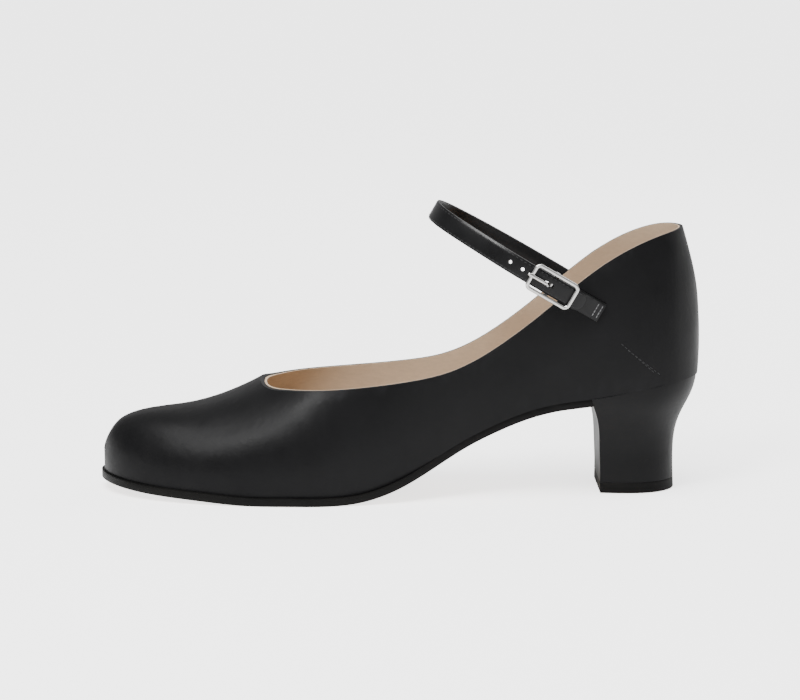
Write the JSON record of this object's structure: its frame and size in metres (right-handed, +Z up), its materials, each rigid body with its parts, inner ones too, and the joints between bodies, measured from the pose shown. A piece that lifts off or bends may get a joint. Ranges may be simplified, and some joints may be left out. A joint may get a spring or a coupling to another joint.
{
  "type": "character dance shoe",
  "caption": "Heeled black leather dance shoe with a one-piece upper, an instep strap with a buckle, a leather sole and a covered block heel.",
  "frame": {"origin": "centre of the flat ground face of the heel", "axes": "+X towards the toe, +Y towards the outer (buckle) side of this left shoe, +Z up"},
  "size_m": [0.2502, 0.0809, 0.1208],
  "materials": {
    "black_leather": "smooth semi-gloss dyed leather with fine grain",
    "strap_leather": "smooth semi-gloss dyed leather, folded edges",
    "lining_leather": "soft natural lining leather",
    "sock_leather": "soft natural leather sock, lightly padded",
    "sole_leather": "vegetable-tanned sole leather, edge dyed black",
    "top_piece": "pale compressed leather heel tip",
    "stiffener": "stiff resin-treated fibre",
    "board": "cellulose insole board",
    "filler": "cork and felt filler",
    "foam": "soft latex foam",
    "heel_block": "moulded plastic heel core",
    "steel": "plain steel",
    "buckle": "bright nickel plate"
  },
  "bodies": {
    "shoe": {"upper": "black_leather", "toe_puff": "stiffener", "heel_counter": "stiffener", "lining": "lining_leather", "insole_board": "board", "heel_pad": "foam", "sock_lining": "sock_leather", "shank": "steel", "bottom_filler": "filler", "outsole": "sole_leather", "heel_cover": "black_leather", "heel_block": "heel_block", "top_piece": "top_piece", "top_piece_nails": "steel", "heel_nails": "steel", "heel_screw": "steel"},
    "strap": {"strap_leather": "strap_leather", "strap_lining": "lining_leather"},
    "buckle": {"chape": "strap_leather", "buckle_frame": "buckle"},
    "prong": {"buckle_prong": "buckle"}
  },
  "joints": [
    {"name": "strap_swing", "type": "hinge", "parent": "shoe", "child": "strap", "pos_m": [0.0241, -0.02757, 0.08167], "axis": [0.503, 0, -0.8643], "range_deg": [0, 105], "deforming": ["strap_leather", "strap_lining"]},
    {"name": "buckle_swing", "type": "hinge", "parent": "shoe", "child": "buckle", "pos_m": [0.0241, 0.02824, 0.08168], "axis": [-0.503, 0, 0.8643], "range_deg": [0, 42], "deforming": ["chape"]},
    {"name": "prong_swing", "type": "hinge", "parent": "buckle", "child": "prong", "pos_m": [0.03798, 0.0306, 0.08976], "axis": [-0.503, 0, 0.8643], "range_deg": [0, 95]}
  ],
  "couplings": [
    {"joint": "buckle_swing", "follows": "strap_swing", "ratio": 0.4}
  ]
}
